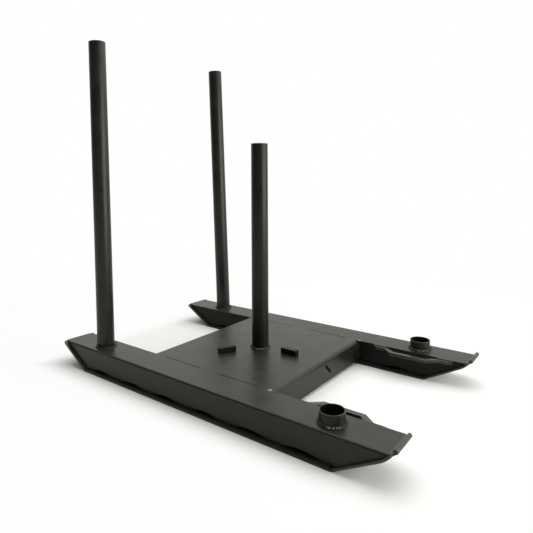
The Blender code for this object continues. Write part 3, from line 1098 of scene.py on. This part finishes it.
@dataclass(kw_only=True)
class StraightBead(Bead):
    """A weld along a straight seam, with tapered ends.

    Attributes:
        start: Where the seam starts.
        end: Where it ends.
        first: Direction of the first face out of the corner, or across a flush seam.
        second: Direction of the second face out of the corner, or up from a flush seam.
        form: How it lies on its seam.
        crown: Height of a flush bead as a share of its leg.
        tip: Least square of what the taper leaves of the section.
    """

    start: Vector
    end: Vector
    first: Vector
    second: Vector
    leg: float = 0.0036
    pitch: float = 0.0024
    stray: float = 90.0
    section_steps: int = 6
    ripple_steps: int = 4
    form: BeadForm = BeadForm.FILLET
    crown: float = 0.42
    tip: float = 0.05

    def _crown(self) -> list[Pair]:
        """Work out a flush bead's section.

        Returns:
            The corners, across the seam and up from it.
        """
        turns = [math.pi * step / self.section_steps for step in range(2 * self.section_steps)]
        return [(self.leg * math.cos(turn), self.crown * self.leg * math.sin(turn)) for turn in turns]

    def shape(self) -> Shape:
        """Draw the section along the seam, ripple it and taper its ends.

        Returns:
            The bead in its place.
        """
        run = self.end - self.start
        steps = self.ripple_steps * max(2, round(run.length / self.pitch))
        section = self.fillet() if self.form is BeadForm.FILLET else self._crown()
        bm = bmesh.new()
        ring = [bm.verts.new(self.start + self.first * out + self.second * up) for out, up in section]
        bmesh.ops.spin(
            bm, geom=[bm.faces.new(ring)], cent=self.start, axis=run.normalized(), dvec=run / steps,
            angle=0.0, steps=steps, use_merge=False, use_duplicate=False,
        )
        bmesh.ops.recalc_face_normals(bm, faces=bm.faces)
        for vert in bm.verts:
            self._ripple(vert, run)
        return bm

    def _ripple(self, vert: bmesh.types.BMVert, run: Vector) -> None:
        """Swell one vertex by its ripple, and draw it in near the bead's ends.

        Args:
            vert: The vertex.
            run: The seam from its start to its end.
        """
        way = (vert.co - self.start).dot(run.normalized())
        off = vert.co - self.start - run.normalized() * way
        near_end = min(1.0, min(way, run.length - way) / self.leg)
        taper = math.sqrt(max(self.tip, 1.0 - (1.0 - near_end) ** 2))
        place = Vector((way * self.stray, self.seed, 0.3))
        swell = 1.0 + self.swell(math.pi * way / self.pitch, off.dot(self.second), place) / self.leg
        vert.co = self.start + run.normalized() * way + off * taper * swell


@dataclass
class Deck:
    """The folded H-shaped deck sheet and what stands on it.

    Attributes:
        shop: Where its pieces are finished.
        post_wall: Wall of the post.
        post_shown: Height of the post over the deck.
        lugs: How many blocks stand round the post.
        front: Outer face of the front flange.
        rear: Outer face of the rear flange.
        bend: How far under the deck a flange's bend reaches.
        corner: Radius of the sheet's corners at the runners' rear ends.
        corner_pair: How near each other the twin points of such a corner lie.
        corner_zone: How far its edge may lie from it, along and across the runner.
        corner_rise: Least rise of its edge.
        drops: Place and radius of each drop on the sheet that is painted bright as a glint.
    """

    shop: Workshop
    post_wall: float = 0.003
    post_shown: float = 0.583
    lugs: int = 3
    front: float = 0.19836
    rear: float = -0.21494
    bend: float = 0.010
    corner: float = 0.011
    corner_pair: float = 0.0006
    corner_zone: Pair = (0.006, 0.0004)
    corner_rise: float = 0.002
    drops: tuple[Triple, ...] = (
        (0.1845, -0.2131, 0.0058), (0.1346, 0.2252, 0.0030), (0.2026, 0.2140, 0.0040),
    )

    def build(self) -> None:
        """Build the sheet, the post with its weld and cap, and the blocks round it."""
        self.shop.dressed_copy(
            "deck_sheet", "deck_plate", DECK_COAT, "deck", 0.0005, self._round_rear_corners
        )
        self._corner_welds()
        self._spatter()
        self._post()
        # The blocks take the near-black coat, painted shade with painted edge highlights.
        for index in range(1, self.lugs + 1):
            self.shop.dressed_copy(f"deck_lug_{index}", f"deck_block_{index}", LUG_SHADE_COAT, "lug", 0.0004)

    def _round_rear_corners(self, bm: Shape) -> None:
        """Round the sheet's two inner corners at the rear ends of the runners.

        Args:
            bm: The merged sheet.
        """
        rearmost = min(vert.co.x for vert in bm.verts)
        ends = [vert for vert in bm.verts if vert.co.x < rearmost + TOUCHING]
        bmesh.ops.remove_doubles(bm, verts=ends, dist=self.corner_pair)
        inner = min(abs(vert.co.y) for vert in bm.verts if vert.co.x < rearmost + TOUCHING)
        along, across = self.corner_zone

        def at_corner(edge: Edge) -> bool:
            """Tell the short slanted edge at a rear corner from the others.

            Args:
                edge: The edge to look at.

            Returns:
                Whether it is that edge.
            """
            spots = [vert.co for vert in edge.verts]
            near = all(spot.x < rearmost + along and abs(abs(spot.y) - inner) < across for spot in spots)
            return near and abs(spots[0].z - spots[1].z) > self.corner_rise

        Workshop.round_edges(bm, at_corner, self.corner, 6)

    def _corner_welds(self) -> None:
        """Run a fillet down each corner between a deck flange and an inner plate."""
        for side in Side:
            low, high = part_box(f"inner_plate_{side.tag}")
            face = low.y if side is Side.LEFT else high.y
            inward = Vector((0.0, -side.value, 0.0))
            for end, sign, place in (("front", 1.0, self.front), ("rear", -1.0, self.rear)):
                foot = Vector((place, face, RUNNER_FLOOR + GAP))
                head = Vector((place, face, DECK_TOP - self.bend))
                along = Vector((sign, 0.0, 0.0))
                bead = StraightBead(start=foot, end=head, first=along, second=inward, seed=place + face)
                # The corner beads take the plates' darkened coat, as painted shade.
                self.shop.finish(bead.shape(), f"{end}_corner_weld_{side.tag}", PLATE_SHADE_COAT, "weld")

    def _spatter(self) -> None:
        """Leave small weld drops painted bright as glints on the sheet and on the post's bead."""
        for index, (along, across, wide) in enumerate(self.drops, start=1):
            drop = WeldDrop(Vector((along, across, DECK_TOP)), wide, seed=3.1 * index)
            self.shop.finish(drop.shape(), f"weld_drop_{index}", GLINT_DROP_COAT, "weld")
        # Drops at the front right of the post's bead paint its highlight.
        drops = BeadGlintDrops(axis_foot("plate_post"), PIPE_RADIUS)
        self.shop.finish(drops.shape(), "post_weld_glint_drops", GLINT_DROP_COAT, "weld")

    def _post(self) -> None:
        """Stand the post, its cap and its weld on the deck."""
        bore = PIPE_RADIUS - self.post_wall
        top = DECK_TOP + self.post_shown
        pieces = (
            (Tube(PIPE_RADIUS, bore, DECK_TOP + GAP, top), "post_tube", POST_COAT, "post", "plate_post"),
            (PushInCap(PIPE_RADIUS, bore, top + GAP), "post_end_cap", CAP_PLASTIC, "cap", "post_cap"),
            (RippledBead(tube=PIPE_RADIUS, seed=1.7), "post_weld_bead", WELD_COAT, "weld", "post_weld"),
        )
        for piece, name, coat, slot, node in pieces:
            self.shop.stand(piece, axis_foot("plate_post"), name, coat, slot, (node,))


@dataclass
class Runner:
    """One box runner: inner plate, floor, skid, strap bow, socket and sleeve.

    Attributes:
        shop: Where its pieces are finished.
        side: Which runner.
        socket_radius: Outer radius of the front socket.
        socket_bore: Inner radius of the front socket.
        socket_shown: Height of the socket over the deck.
        sleeve_leg: Leg of the weld round the pole's sleeve.
        half: Half the sled's width over the deck.
        nose: Where the sheet's front edge meets the skid's lip.
        nose_leg: Half the width of the weld there.
        nose_inset: How far the nose's weld stays from the corners.
        nose_drop: How far the nose's weld lies under the deck's top.
        nose_slope: Rise of the nose's weld over its width.
        lip: Place (x, z) of the lip's round edge.
        lip_radius: Radius of the lip's round edge.
        lip_inset: How far the middles of its ends stay from the corners.
        tail: Place (x, z) of the tail's round edge.
        tail_inset: How far the middles of its ends stay from the skid's sides.
        arm_width: Distance from the bow's outer side to the eye.
        arm_slack: How far a corner may lie from that distance.
        arm_trim: How much thinner the bow's arm is made.
        eye_reach: How far each end of the eye is moved along the runner.
        bow_corner: Radius of the bow's corners in plan.
        bow_turn: Least angle of a corner in plan that is rounded.
        bow_rise: Least height of such a corner's edge.
        bow_edge: Radius of the bow's upper edges.
        bow_brim: Least angle of an upper edge that is rounded.
        bow_foot: Length of the weld at each foot of the bow.
    """

    shop: Workshop
    side: Side
    socket_radius: float = 0.027
    socket_bore: float = 0.0245
    socket_shown: float = 0.0247
    sleeve_leg: float = 0.0030
    half: float = 0.299
    nose: float = 0.5066
    nose_leg: float = 0.0040
    nose_inset: float = 0.003
    nose_drop: float = 0.0009
    nose_slope: float = 0.12
    lip: Pair = (0.5151, 0.0712)
    lip_radius: float = 0.0050
    lip_inset: float = 0.0098
    tail: Pair = (-0.5148, 0.0618)
    tail_inset: float = 0.0150
    arm_width: float = 0.0124
    arm_slack: float = 0.0005
    arm_trim: float = 0.0030
    eye_reach: float = 0.0080
    bow_corner: float = 0.004
    bow_turn: float = math.radians(15.0)
    bow_rise: float = 0.001
    bow_edge: float = 0.0026
    bow_brim: float = math.radians(40.0)
    bow_foot: float = 0.040

    def build(self) -> None:
        """Build and dress every piece of the runner."""
        # The inner and floor plates take coats darkened as painted shade, the skid and the bow coats
        # lightened as painted light, and the sleeve a coat with painted rim highlights.
        plates = (
            ("inner_plate", "runner_inner_plate", PLATE_SHADE_COAT, "side_plate", 0.0005, None),
            ("runner_floor", "runner_floor_plate", FLOOR_SHADE_COAT, "floor", 0.0005, None),
            ("skid", "runner_skid", SKID_LIT_COAT, "skid", 0.0012, self._trim_tail),
            ("strap_bow", "tow_strap_bow", BOW_LIT_COAT, "bow", 0.0, self._round_bow),
            ("pole_sleeve", "pole_sleeve_tube", SOCKET_COAT, "socket", 0.0003, None),
        )
        for node, name, coat, slot, edge, rework in plates:
            self.shop.dressed_copy(self._tagged(node), self._tagged(name), coat, slot, edge, rework)
        self._socket()
        self._sleeve_weld()
        self._nose_weld()
        self._rolled_edges()
        self._bow_welds()

    def _tagged(self, name: str) -> str:
        """Return a name with this side's word at its end."""
        return f"{name}_{self.side.tag}"

    def _across(self, inset: float) -> Pair:
        """Return this side's outer and inner place across the sled, each moved in by an inset."""
        return self.side.value * (self.half - inset), self.side.value * (INNER_FACE + inset)

    def _socket(self) -> None:
        """Stand the front socket with its weld and the drops on it that paint its highlight."""
        node = self._tagged("front_socket")
        spot = axis_foot(node)
        tube = Tube(self.socket_radius, self.socket_bore, RUNNER_FLOOR, DECK_TOP + self.socket_shown)
        self.shop.stand(tube, spot, self._tagged("socket_tube"), SOCKET_COAT, "socket", (node,))
        bead = RippledBead(tube=self.socket_radius, seed=4.0 + self.side.value)
        node = self._tagged("socket_weld")
        self.shop.stand(bead, spot, self._tagged("socket_weld_bead"), WELD_COAT, "weld", (node,))
        drops = BeadGlintDrops(spot, self.socket_radius)
        self.shop.finish(drops.shape(), self._tagged("socket_weld_drops"), GLINT_DROP_COAT, "weld")

    def _sleeve_weld(self) -> None:
        """Run a low fillet round the sleeve that the push pole stands in."""
        node = self._tagged("pole_sleeve")
        low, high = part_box(node)
        radius = (high.y - low.y) / 2.0
        bead = RippledBead(tube=radius, leg=self.sleeve_leg, seed=9.0 + self.side.value)
        self.shop.stand(bead, axis_foot(node), self._tagged("sleeve_weld_bead"), WELD_COAT, "weld")

    def _nose_weld(self) -> None:
        """Close the joint between the deck sheet's front edge and the skid's lip."""
        outer, inner = self._across(self.nose_inset)
        level = DECK_TOP - self.nose_drop
        bead = StraightBead(
            start=Vector((self.nose, outer, level)), end=Vector((self.nose, inner, level)),
            first=Vector((1.0, 0.0, self.nose_slope)).normalized(),
            second=Vector((-self.nose_slope, 0.0, 1.0)).normalized(),
            leg=self.nose_leg, form=BeadForm.FLUSH, wander=0.0003, seed=self.side.value,
        )
        # The weld takes the skid's lightened coat, which is painted light.
        self.shop.finish(bead.shape(), self._tagged("nose_weld"), SKID_LIT_COAT, "weld")

    def _trim_tail(self, bm: Shape) -> None:
        """Cut the sharp tip of the skid's tail back to the middle of its round edge.

        Args:
            bm: The merged skid.
        """
        cut = bmesh.ops.bisect_plane(
            bm, geom=bm.verts[:] + bm.edges[:] + bm.faces[:], dist=ON_PLANE,
            plane_co=(self.tail[0], 0.0, 0.0), plane_no=(-1.0, 0.0, 0.0), clear_outer=True,
        )["geom_cut"]
        rim = [item for item in cut if isinstance(item, Edge)]
        bmesh.ops.holes_fill(bm, edges=rim, sides=0)

    def _rolled_edges(self) -> None:
        """Lay the round edges along the skid's lip and along its tail, over the sheet's rear end."""
        low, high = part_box(self._tagged("skid"))
        sides = (low.y + self.tail_inset, high.y - self.tail_inset)
        bars = (
            ("lip", self.lip, self._across(self.lip_inset), self.lip_radius),
            ("tail", self.tail, sides, self.tail[0] - low.x),
        )
        for place, (x, z), (first, last), radius in bars:
            bar = RolledEdge(Vector((x, first, z)), Vector((x, last, z)), radius)
            # The round edges take the skid's lightened coat, which is painted light.
            self.shop.finish(bar.shape(), self._tagged(f"{place}_rolled_edge"), SKID_LIT_COAT, "skid")

    def _round_bow(self, bm: Shape) -> None:
        """Thin the bow's arm, round its corners in plan, then its upper edges.

        Args:
            bm: The merged bow.
        """
        low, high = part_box(self._tagged("strap_bow"))
        middle = (low.x + high.x) / 2.0
        arm = min(abs(vert.co.y) for vert in bm.verts) + self.arm_width
        for vert in bm.verts:
            if abs(abs(vert.co.y) - arm) < self.arm_slack:
                vert.co.y -= math.copysign(self.arm_trim, vert.co.y)
                vert.co.x += math.copysign(self.eye_reach, vert.co.x - middle)

        def in_plan(edge: Edge) -> bool:
            """Tell the upright edges at the bow's corners from the others.

            Args:
                edge: The edge to look at.

            Returns:
                Whether it is one of them.
            """
            run = edge.verts[0].co - edge.verts[1].co
            stands = run.xy.length < SAME_SPOT and abs(run.z) > self.bow_rise
            return stands and edge.calc_face_angle(0.0) > self.bow_turn

        Workshop.round_edges(bm, in_plan, self.bow_corner, 4)
        top = max(vert.co.z for vert in bm.verts)

        def along_top(edge: Edge) -> bool:
            """Return whether an edge runs along the bow's upper side."""
            level = all(vert.co.z > top - TOUCHING for vert in edge.verts)
            return level and edge.calc_face_angle(0.0) > self.bow_brim

        Workshop.round_edges(bm, along_top, self.bow_edge, 4)

    def _bow_welds(self) -> None:
        """Run a fillet from each foot of the strap bow up to the sheet's top."""
        low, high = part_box(self._tagged("strap_bow"))
        edge = self.side.value * INNER_FACE
        across = Vector((0.0, -self.side.value, 0.0))
        for foot, first in (("rear", low.x), ("front", high.x - self.bow_foot)):
            start = Vector((first, edge, high.z))
            end = Vector((first + self.bow_foot, edge, high.z))
            bead = StraightBead(
                start=start, end=end, first=across, second=UP,
                leg=DECK_TOP - high.z + GAP, wander=0.0002, seed=first,
            )
            # The feet's welds take the bow's lightened coat, which is painted light.
            self.shop.finish(bead.shape(), self._tagged(f"bow_{foot}_weld"), BOW_LIT_COAT, "weld")


@dataclass
class PushPole:
    """One lift-out push pole with its end cap, leaning a little rearward.

    Attributes:
        shop: Where its pieces are finished.
        side: Which pole.
        wall: The tube's wall.
        lean: The lean, in radians.
        shown: Length of the tube over the deck.
    """

    shop: Workshop
    side: Side
    wall: float = 0.0025
    lean: float = math.radians(2.43)
    shown: float = 0.889

    def build(self) -> None:
        """Build the tube and the cap on the pole's own axis."""
        tag = self.side.tag
        low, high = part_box(f"push_pole_{tag}")
        foot_x = high.x - PIPE_RADIUS * math.cos(self.lean)
        rise = DECK_TOP - (low.z + PIPE_RADIUS * math.sin(self.lean))
        spot = Vector((foot_x - rise * math.tan(self.lean), (low.y + high.y) / 2.0, DECK_TOP))
        body = Body.pole(self.side)
        bore = PIPE_RADIUS - self.wall
        tube = Tube(PIPE_RADIUS, bore, -rise / math.cos(self.lean), self.shown)
        cap = PushInCap(PIPE_RADIUS, bore, self.shown + GAP)
        pieces = (
            (tube, "pole_tube", POLE_COAT, "pole", "push_pole"),
            (cap, "pole_end_cap", CAP_PLASTIC, "cap", "pole_cap"),
        )
        for piece, name, coat, slot, node in pieces:
            nodes = (f"{node}_{tag}",)
            self.shop.stand(piece, spot, f"{name}_{tag}", coat, slot, nodes, body, self.lean)


@dataclass(frozen=True)
class SoftLamp:
    """One soft rectangular lamp.

    Attributes:
        name: The lamp's name.
        spot: Its middle.
        target: What it faces.
        wide: Its width.
        tall: Its height.
        power: Its power in watts.
    """

    name: str
    spot: Triple
    target: Triple
    wide: float
    tall: float
    power: float

    def hang(self, colour: Triple) -> None:
        """Hang the lamp.

        Args:
            colour: The colour of its light.
        """
        data = bpy.data.lights.new(self.name, "AREA")
        data.shape = "RECTANGLE"
        data.size = self.wide
        data.size_y = self.tall
        data.energy = self.power
        data.color = colour
        made = linked(data)
        made.location = self.spot
        towards = Vector(self.target) - Vector(self.spot)
        made.rotation_euler = towards.to_track_quat("-Z", "Y").to_euler()


@dataclass
class Studio:
    """Pale floor, white surround, soft lamps and the camera.

    Attributes:
        reach: Half the floor's width.
        floor_tone: The floor's tone as it is seen.
        bounce: The floor's tone for the light that it throws back.
        paper: The floor's tint, which evens out that of the lamps.
        pool: Distances from the middle between which the floor turns to plain white.
        halo: Width of the floor's soft start round the sled's box.
        lift: Share of plain white in the seen floor outside that box.
        fill: Strength of the surround as a light.
        light: Tint of the lamps and of the surround as a light.
        dark_side: Direction in which reflections show a darker room.
        dusk: Where round that direction it darkens, from and to, and how dark it gets.
        eye: The camera's place.
        yaw: Its turn to the left of +Y, in radians.
        roll: Its roll, in radians.
        lens: Its focal length, in millimetres.
        sensor: Its sensor's width, in millimetres.
        rise: Its vertical shift.
        lamps: The lamps.
    """

    reach: float = 14.0
    floor_tone: float = 0.975
    bounce: float = 0.50
    paper: Triple = (0.98, 0.98, 1.0)
    pool: Pair = (0.75, 1.5)
    halo: float = 0.08
    lift: float = 0.88
    fill: float = 0.26
    light: Triple = (1.0, 1.0, 0.94)
    dark_side: Triple = (0.12, -0.99, 0.0)
    dusk: Triple = (-0.25, 0.55, 0.15)
    eye: Triple = (0.8404129, -1.1027467, 0.5547233)
    yaw: float = 0.6403
    roll: float = -0.0051
    lens: float = 32.549
    sensor: float = 36.0
    rise: float = -0.16703
    lamps: tuple[SoftLamp, ...] = (
        SoftLamp("overhead", (-0.2, 0.8, 3.0), (0.0, 0.1, 0.0), 5.4, 4.4, 105.0),
        SoftLamp("window", (2.7, 0.7, 1.0), (0.0, 0.0, 0.30), 2.6, 2.0, 78.0),
    )

    def build(self) -> None:
        """Build floor, world, lamps and camera."""
        self._floor()
        self._world()
        for lamp in self.lamps:
            lamp.hang(self.light)
        self._camera()

    def _floor(self) -> None:
        """Lay the pale floor, which keeps the sled's shadow and turns to white away from it."""
        bm = bmesh.new()
        bmesh.ops.create_grid(bm, x_segments=1, y_segments=1, size=self.reach)
        data = mesh_of(bm, "studio_floor")
        data.materials.append(self._paper())
        linked(data)

    def _paper(self) -> Material:
        """Build the floor's material.

        Returns:
            The new material.
        """
        look, wires, shader = start_material("studio_floor_paper", 0.1)
        shader.inputs["Roughness"].default_value = 0.9
        place = wires.place()
        cloud = wires.texture(place, 1.2, Detail=2.0)
        paper = wires.spread(cloud, 0.3, 0.7, (self.floor_tone, self.floor_tone + 0.01))
        seen = self._seen(wires)
        dim = wires.maths("MULTIPLY", wires.maths("SUBTRACT", 1.0, seen), self.floor_tone - self.bounce)
        tone = wires.maths("SUBTRACT", paper, dim)
        wires.join(wires.blend(tone, BLACK, self.paper), shader.inputs["Base Color"])
        glow = wires.add("Emission", {"Color": (*WHITE, 1.0), "Strength": 1.0})
        away = wires.add("VectorMath", operation="LENGTH")
        wires.join(place, away.inputs[0])
        far = wires.spread(away.outputs["Value"], *self.pool)
        near = wires.spread(self._outside(wires, place), 0.0, self.halo, (0.0, self.lift))
        share = wires.maths("MULTIPLY", wires.maths("MAXIMUM", far, near), seen)
        mixed = wires.add("MixShader")
        for index, source in enumerate((share, shader.outputs[0], glow.outputs[0])):
            wires.join(source, mixed.inputs[index])
        wires.join(mixed.outputs[0], look.node_tree.nodes["Material Output"].inputs["Surface"])
        return look

    @staticmethod
    def _outside(wires: Wiring, place: Socket) -> Socket:
        """Measure how far a place on the floor lies outside the sled's own box.

        Args:
            wires: The floor material's wiring.
            place: The Object coordinate.

        Returns:
            The distance's socket.
        """
        low, high = CAD_BOX
        parts = wires.add("SeparateXYZ")
        wires.join(place, parts.inputs[0])
        beyond = []
        for axis in (0, 1):
            size = wires.maths("ABSOLUTE", parts.outputs[axis])
            beyond.append(wires.maths("SUBTRACT", size, max(abs(low[axis]), abs(high[axis]))))
        return wires.maths("MAXIMUM", *beyond)

    @staticmethod
    def _seen(wires: Wiring) -> Socket:
        """Tell the rays that show the surround from those that light.

        Args:
            wires: The floor material's wiring.

        Returns:
            A socket with 1 for the rays that show it.
        """
        path = wires.add("LightPath")
        seen = wires.maths("MAXIMUM", path.outputs["Is Camera Ray"], path.outputs["Is Glossy Ray"])
        return wires.maths("MAXIMUM", seen, path.outputs["Is Transmission Ray"])

    def _world(self) -> None:
        """Set a surround that is white to the camera, dark on one side to reflections and soft as a light."""
        world = bpy.data.worlds.new("studio_surround")
        world.use_nodes = True
        bpy.context.scene.world = world
        wires = Wiring(world.node_tree)
        back = world.node_tree.nodes["Background"]
        path = wires.add("LightPath")
        camera = path.outputs["Is Camera Ray"]
        wires.join(wires.blend(camera, self.light, WHITE), back.inputs["Color"])
        towards = wires.add("VectorMath", {1: self.dark_side}, operation="DOT_PRODUCT")
        wires.join(wires.add("TexCoord").outputs["Generated"], towards.inputs[0])
        start, end, darkest = self.dusk
        room = wires.spread(towards.outputs["Value"], start, end, (1.0, darkest))
        shown = wires.maths("MAXIMUM", path.outputs["Is Glossy Ray"], path.outputs["Is Transmission Ray"])
        mirrored = wires.maths("MULTIPLY", shown, wires.maths("SUBTRACT", room, self.fill))
        lit = wires.maths("ADD", mirrored, self.fill)
        wires.join(wires.maths("MAXIMUM", camera, lit), back.inputs["Strength"])

    def _camera(self) -> None:
        """Set the camera at the photograph's place, level and shifted down."""
        data = bpy.data.cameras.new("photo_camera")
        data.sensor_width = self.sensor
        data.lens = self.lens
        data.shift_y = self.rise
        data.clip_end = 100.0
        made = linked(data)
        turn = Matrix.Rotation(self.yaw, 4, "Z") @ Matrix.Rotation(math.radians(90.0), 4, "X")
        made.matrix_world = Matrix.Translation(self.eye) @ turn @ Matrix.Rotation(self.roll, 4, "Z")
        bpy.context.scene.camera = made


def clear_scene() -> None:
    """Remove Blender's opening objects, and nothing that the frame brought."""
    for name in ("Cube", "Light", "Camera"):
        old = bpy.data.objects.get(name)
        if old is not None:
            bpy.data.objects.remove(old, do_unlink=True)


def main() -> None:
    """Build the looks of the whole sled."""
    logging.basicConfig(level=logging.INFO, format="%(name)s %(message)s")
    clear_scene()
    bpy.context.scene.view_settings.view_transform = "Standard"
    shop = Workshop()
    Studio().build()
    Deck(shop).build()
    for side in Side:
        Runner(shop, side).build()
        PushPole(shop, side).build()


if __name__ == "__main__":
    main()
